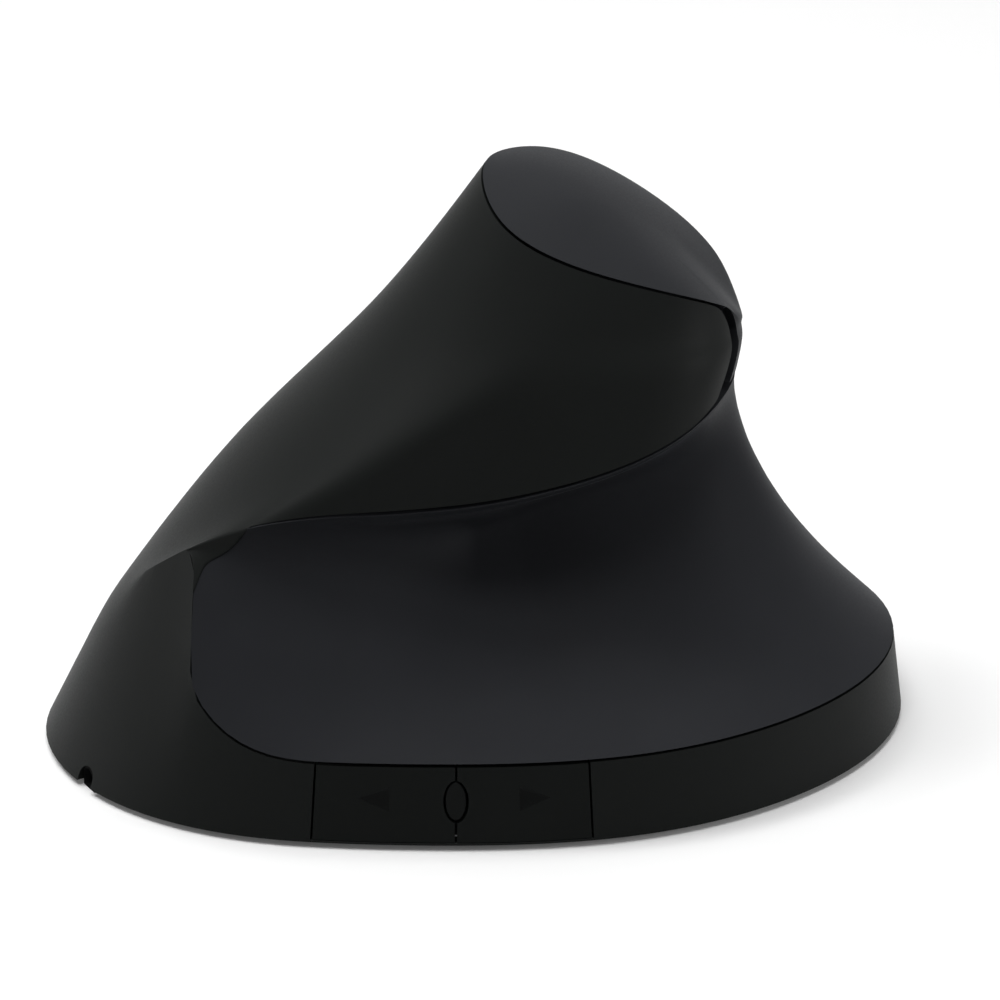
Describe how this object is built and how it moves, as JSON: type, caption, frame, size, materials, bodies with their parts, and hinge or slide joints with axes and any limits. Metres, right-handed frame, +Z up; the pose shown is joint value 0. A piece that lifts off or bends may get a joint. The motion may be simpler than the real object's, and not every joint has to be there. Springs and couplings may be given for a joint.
{
  "type": "vertical ergonomic mouse",
  "caption": "Right-hand vertical computer mouse with a flared base, scooped thumb saddle, finger buttons, scroll wheel and speed keys in its rim.",
  "frame": {"origin": "middle of the footprint, on the surface that the mouse stands on", "axes": "+Z up, -X to the nose with the cable inlet, -Y to the thumb side, +Y to the fingers"},
  "size_m": [0.12, 0.0766, 0.0804],
  "materials": {
    "shell": "satin black",
    "buttons": "satin black",
    "cap": "satin charcoal",
    "saddle": "soft-touch dark grey",
    "bezel": "gloss black",
    "lens": "smoked",
    "base": "fine grain",
    "feet": "smooth",
    "screw": "zinc plated",
    "grommet": "matt",
    "frame": "moulded",
    "pin": "ground",
    "hub": "moulded",
    "tyre": "ribbed",
    "encoder": "moulded",
    "board": "solder mask",
    "switch": "moulded",
    "plunger": "moulded",
    "chip": "moulded",
    "clear": "clear",
    "socket": "moulded",
    "ribbon": "flat",
    "led": "clear cap"
  },
  "bodies": {
    "housing": {"main_shell": "shell", "top_cap": "cap", "palm_shell": "shell", "thumb_saddle": "saddle", "wheel_bezel": "bezel", "indicator_lens": "lens", "base_plate": "base", "glide_feet": "feet", "base_screws": "screw", "cable_grommet": "grommet", "inner_frame": "frame", "frame_screws": "screw", "upper_hinge_pin": "pin", "lower_hinge_pin": "pin", "yoke_pin": "pin", "button_board": "board", "upper_switch": "switch", "lower_switch": "switch", "wheel_switch": "switch", "main_board": "board", "board_screws": "screw", "optical_sensor": "chip", "sensor_lens": "clear", "controller_chip": "chip", "cable_socket": "socket", "flat_cable": "ribbon", "speed_down_switch": "switch", "speed_up_switch": "switch", "indicator_led": "led"},
    "upper_button": {"upper_button": "buttons"},
    "lower_button": {"lower_button": "buttons"},
    "wheel_yoke": {"wheel_yoke": "frame", "wheel_encoder": "encoder"},
    "scroll_wheel": {"scroll_wheel": "hub", "wheel_tyre": "tyre", "wheel_axle": "pin"},
    "speed_down_key": {"speed_down_key": "shell"},
    "speed_up_key": {"speed_up_key": "shell"},
    "upper_plunger": {"upper_plunger": "plunger"},
    "lower_plunger": {"lower_plunger": "plunger"},
    "wheel_plunger": {"wheel_plunger": "plunger"},
    "speed_down_plunger": {"speed_down_plunger": "plunger"},
    "speed_up_plunger": {"speed_up_plunger": "plunger"}
  },
  "joints": [
    {"name": "upper_button_press", "type": "hinge", "parent": "housing", "child": "upper_button", "pos_m": [0.01781, 0.01523, 0.06197], "axis": [0.0479, -0.2714, 0.9613], "range_deg": [0, 1.5], "stiffness_Nm_per_rad": 0.5, "springref_deg": -0.57},
    {"name": "lower_button_press", "type": "hinge", "parent": "housing", "child": "lower_button", "pos_m": [0.01042, 0.02099, 0.03219], "axis": [0.0479, -0.2714, 0.9613], "range_deg": [0, 1], "stiffness_Nm_per_rad": 0.5, "springref_deg": -0.57},
    {"name": "wheel_press", "type": "hinge", "parent": "housing", "child": "wheel_yoke", "pos_m": [0.01691, 0.00838, 0.0446], "axis": [0.0479, -0.2714, 0.9613], "range_deg": [0, 1.2], "stiffness_Nm_per_rad": 0.5, "springref_deg": -0.57},
    {"name": "wheel_spin", "type": "hinge", "parent": "wheel_yoke", "child": "scroll_wheel", "pos_m": [-0.00085, 0.01697, 0.04791], "axis": [-0.0479, 0.2714, -0.9613], "continuous": true},
    {"name": "speed_down_press", "type": "slide", "parent": "housing", "child": "speed_down_key", "axis": [0, 1, 0], "range_m": [0, 0.0005], "stiffness_N_per_m": 400, "springref_m": -0.0005},
    {"name": "speed_up_press", "type": "slide", "parent": "housing", "child": "speed_up_key", "axis": [0, 1, 0], "range_m": [0, 0.0005], "stiffness_N_per_m": 400, "springref_m": -0.0005},
    {"name": "upper_plunger_slide", "type": "slide", "parent": "housing", "child": "upper_plunger", "axis": [0.1669, -0.9467, -0.2756], "range_m": [0, 0.0004]},
    {"name": "lower_plunger_slide", "type": "slide", "parent": "housing", "child": "lower_plunger", "axis": [0.1669, -0.9467, -0.2756], "range_m": [0, 0.0006]},
    {"name": "wheel_plunger_slide", "type": "slide", "parent": "housing", "child": "wheel_plunger", "axis": [0.1669, -0.9467, -0.2756], "range_m": [0, 0.0008]},
    {"name": "speed_down_plunger_slide", "type": "slide", "parent": "housing", "child": "speed_down_plunger", "axis": [0, 1, 0], "range_m": [0, 0.0006]},
    {"name": "speed_up_plunger_slide", "type": "slide", "parent": "housing", "child": "speed_up_plunger", "axis": [0, 1, 0], "range_m": [0, 0.0006]}
  ],
  "couplings": [
    {"joint": "upper_plunger_slide", "follows": "upper_button_press", "m_per_rad": 0.012354},
    {"joint": "lower_plunger_slide", "follows": "lower_button_press", "m_per_rad": 0.028098},
    {"joint": "wheel_plunger_slide", "follows": "wheel_press", "m_per_rad": 0.034},
    {"joint": "speed_down_plunger_slide", "follows": "speed_down_press", "ratio": 1},
    {"joint": "speed_up_plunger_slide", "follows": "speed_up_press", "ratio": 1}
  ]
}
